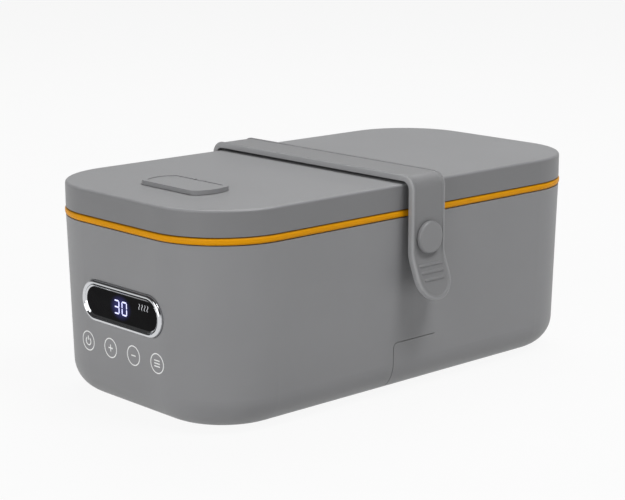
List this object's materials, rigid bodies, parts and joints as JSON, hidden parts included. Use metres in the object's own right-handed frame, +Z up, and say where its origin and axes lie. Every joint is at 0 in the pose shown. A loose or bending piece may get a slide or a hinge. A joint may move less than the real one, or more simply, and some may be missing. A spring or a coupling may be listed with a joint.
{
  "type": "electric lunch box",
  "caption": "Rounded electric lunch box with lift-off sealed lid, strap closure, steam vent, lit display, food bowls over a heated water pan and a covered power inlet.",
  "frame": {"origin": "on the plane of the feet, below the middle of the housing", "axes": "+X along the box away from the display, -Y to the side with the strap's front end, +Z up"},
  "size_m": [0.2413, 0.1536, 0.101],
  "materials": {
    "shell_grey": "fine satin moulded polypropylene",
    "strap_grey": "satin silicone",
    "knob_grey": "satin moulded",
    "seal_amber": "satin silicone",
    "seal_white": "satin silicone",
    "inner_white": "satin moulded polypropylene",
    "cover_grey": "fine textured",
    "foot_rubber": "matte",
    "screw_steel": "zinc plated",
    "bowl_steel": "drawn stainless, satin",
    "heater_aluminium": "cast",
    "sensor_metal": "pressed",
    "board_green": "solder mask",
    "black_plastic": "satin moulded",
    "contact_brass": "drawn",
    "bezel_chrome": "polished plating",
    "window_black": "polished",
    "lead_insulation": "silicone insulation"
  },
  "bodies": {
    "base": {"outer_housing": "shell_grey", "inlet_recess": "black_plastic", "inlet_socket": "black_plastic", "inlet_pins": "contact_brass", "bottom_cover": "cover_grey", "rubber_feet": "foot_rubber", "cover_screws": "screw_steel", "inner_liner": "inner_white", "heating_pan": "bowl_steel", "pan_seal": "seal_white", "heater_plate": "heater_aluminium", "thermostat": "sensor_metal", "thermal_fuse": "sensor_metal", "power_board": "board_green", "power_components": "black_plastic", "display_bezel": "bezel_chrome", "display_window": "window_black", "display_board": "board_green", "digit_display": "black_plastic", "touch_pads": "contact_brass", "front_knob": "knob_grey", "rear_knob": "knob_grey", "knob_screws": "screw_steel", "strap_rear_end": "strap_grey", "mains_leads": "lead_insulation", "heater_leads": "lead_insulation", "display_lead": "lead_insulation"},
    "lid": {"lid_shell": "shell_grey", "lid_inner": "inner_white", "lid_gasket": "seal_amber", "vent_pin": "screw_steel"},
    "vent": {"vent_cap": "shell_grey", "vent_seal": "seal_white"},
    "flap": {"inlet_flap": "shell_grey"},
    "strap": {"strap_band": "strap_grey"},
    "strap_tail": {"strap_front_tail": "strap_grey"},
    "large_bowl": {"large_bowl": "bowl_steel"},
    "small_bowl": {"small_bowl": "bowl_steel"}
  },
  "joints": [
    {"name": "lid_lift", "type": "slide", "parent": "base", "child": "lid", "axis": [0, 0, 1], "range_m": [0, 0.16]},
    {"name": "large_bowl_lift", "type": "slide", "parent": "base", "child": "large_bowl", "axis": [0, 0, 1], "range_m": [0, 0.08]},
    {"name": "small_bowl_lift", "type": "slide", "parent": "base", "child": "small_bowl", "axis": [0, 0, 1], "range_m": [0, 0.08]},
    {"name": "strap_swing", "type": "hinge", "parent": "base", "child": "strap", "pos_m": [0, 0.0625, 0.09465], "axis": [-1, 0, 0], "range_deg": [0, 180], "deforming": ["strap_band"]},
    {"name": "strap_tail_pull", "type": "hinge", "parent": "strap", "child": "strap_tail", "pos_m": [0, -0.0625, 0.09465], "axis": [-1, 0, 0], "range_deg": [0, 110], "deforming": ["strap_front_tail"]},
    {"name": "vent_flip", "type": "hinge", "parent": "lid", "child": "vent", "pos_m": [-0.0756, -0.00285, 0.09815], "axis": [0, 1, 0], "range_deg": [0, 100]},
    {"name": "flap_swing", "type": "hinge", "parent": "base", "child": "flap", "pos_m": [0.0125, -0.06158, 0.02], "axis": [0, 0, 1], "range_deg": [0, 100]}
  ],
  "couplings": [
    {"joint": "large_bowl_lift", "follows": "lid_lift", "ratio": 0.5},
    {"joint": "small_bowl_lift", "follows": "lid_lift", "ratio": 0.5},
    {"joint": "strap_swing", "follows": "lid_lift", "rad_per_m": 19.63}
  ]
}
